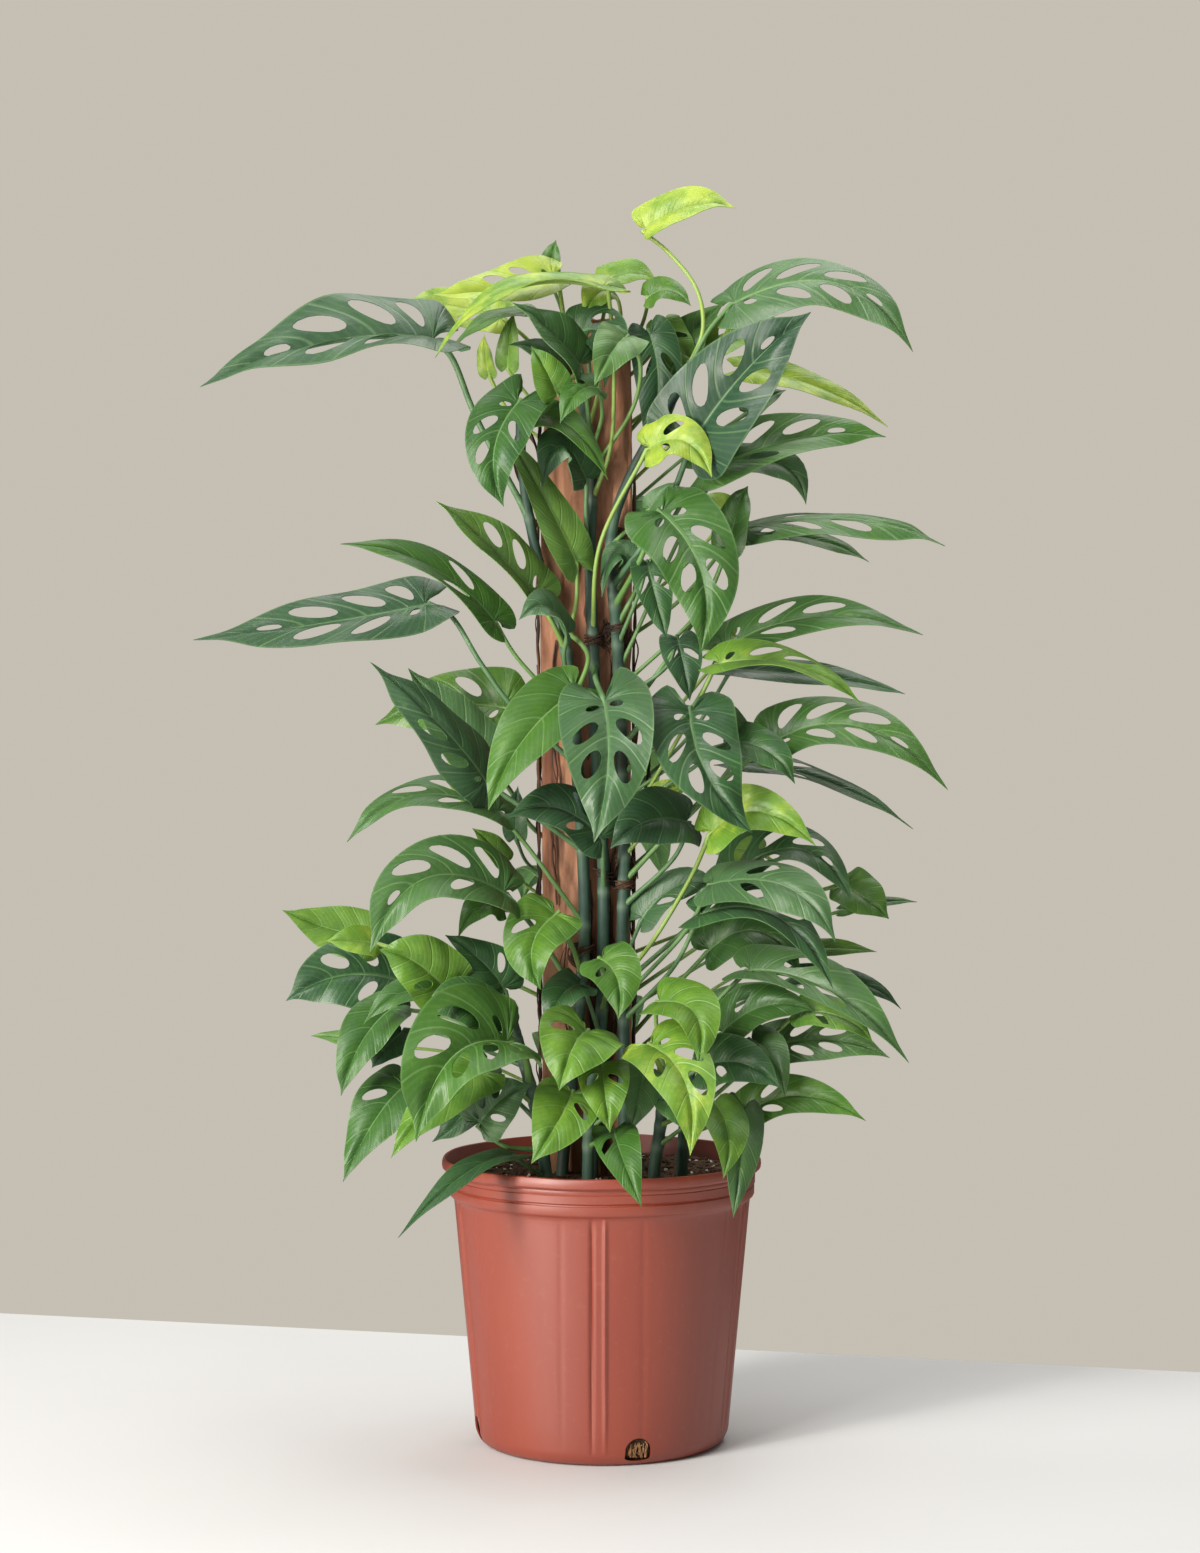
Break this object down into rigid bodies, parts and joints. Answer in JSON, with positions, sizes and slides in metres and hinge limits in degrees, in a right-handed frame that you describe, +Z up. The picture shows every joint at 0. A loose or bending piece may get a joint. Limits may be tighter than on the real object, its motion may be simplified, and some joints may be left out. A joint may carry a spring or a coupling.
{
  "type": "potted swiss cheese vine",
  "caption": "Climbing aroid house plant with holed and split leaves on a wooden pole, in a round nursery pot filled with soil.",
  "frame": {"origin": "middle of the pot's flat underside, on the pot's axis", "axes": "+Z up along the pot's axis, -Y towards the plant's front, +X to the right of the front"},
  "size_m": [0.6198, 0.3982, 1.0544],
  "materials": {
    "pot": "satin moulded plastic",
    "soil": "crumbly bark and peat mix",
    "pole": "rough weathered board",
    "root": "dull thin bark",
    "leaf_deep": "soft waxy sheen",
    "leaf_mid": "soft waxy sheen",
    "leaf_bright": "soft waxy sheen"
  },
  "bodies": {
    "root": {"pot": "pot", "soil": "soil", "wooden_pole": "pole", "aerial_roots_left": "root", "aerial_roots_right": "root", "vine_left": "leaf_deep", "vine_middle": "leaf_mid", "vine_right": "leaf_mid", "vine_rear_left": "leaf_bright", "vine_rear_right": "leaf_bright", "vine_low_left": "leaf_deep", "vine_low_middle": "leaf_bright", "vine_low_right": "leaf_mid", "vine_low_side": "leaf_mid"}
  },
  "joints": []
}
